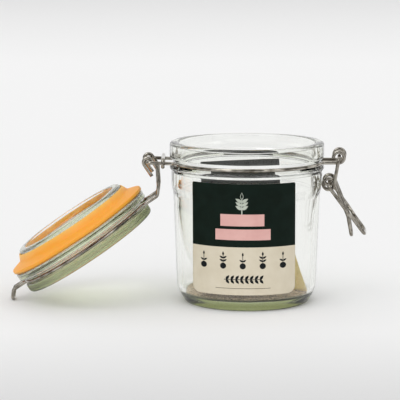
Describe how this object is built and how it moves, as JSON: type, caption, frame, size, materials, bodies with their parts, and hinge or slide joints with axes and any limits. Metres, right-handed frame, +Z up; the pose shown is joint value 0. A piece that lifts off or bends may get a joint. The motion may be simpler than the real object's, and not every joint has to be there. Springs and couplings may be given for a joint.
{
  "type": "jar planter",
  "caption": "Clip-top glass jar with a hinged lid, rubber ring and wire clasp, open over a herb grow kit of coir disc, seed bag and folded card.",
  "frame": {"origin": "centre of the jar's foot, on the surface it stands on", "axes": "+Z up along the jar's axis, +X towards the clasp, -X towards the hinge and the open lid, -Y towards the label"},
  "size_m": [0.226, 0.0974, 0.1015],
  "materials": {
    "clear_glass": "clear pressed glass, faint green",
    "bail_wire": "bright drawn wire",
    "orange_rubber": "smooth, slightly translucent",
    "label_paper": "matt print, dark green over cream",
    "coir": "pressed coconut fibre, matt",
    "bag_paper": "pale yellow paper, matt",
    "dark_card": "matt dark card, cut edges"
  },
  "bodies": {
    "jar": {"jar_glass": "clear_glass", "neck_belt_wire": "bail_wire", "hinge_tie": "bail_wire", "paper_label": "label_paper", "coir_disc": "coir", "seed_bag": "bag_paper", "folded_card": "dark_card"},
    "lid": {"lid_glass": "clear_glass", "rubber_gasket": "orange_rubber", "lid_bail_wire": "bail_wire"},
    "lever": {"clasp_lever": "bail_wire"},
    "link": {"clasp_link": "bail_wire"}
  },
  "joints": [
    {"name": "lid_hinge", "type": "hinge", "parent": "jar", "child": "lid", "pos_m": [-0.0623, 0, 0.0894], "axis": [0, 1, 0], "range_deg": [0, 213.63], "deforming": ["rubber_gasket"]},
    {"name": "lever_pivot", "type": "hinge", "parent": "jar", "child": "lever", "pos_m": [0.0582, 0, 0.0913], "axis": [-0.0872, -0.9962, 0], "range_deg": [0, 150]},
    {"name": "link_pivot", "type": "hinge", "parent": "lever", "child": "link", "pos_m": [0.05202, 0.00054, 0.0746], "axis": [-0.0872, -0.9962, 0], "range_deg": [-38.5, 144.84]}
  ]
}
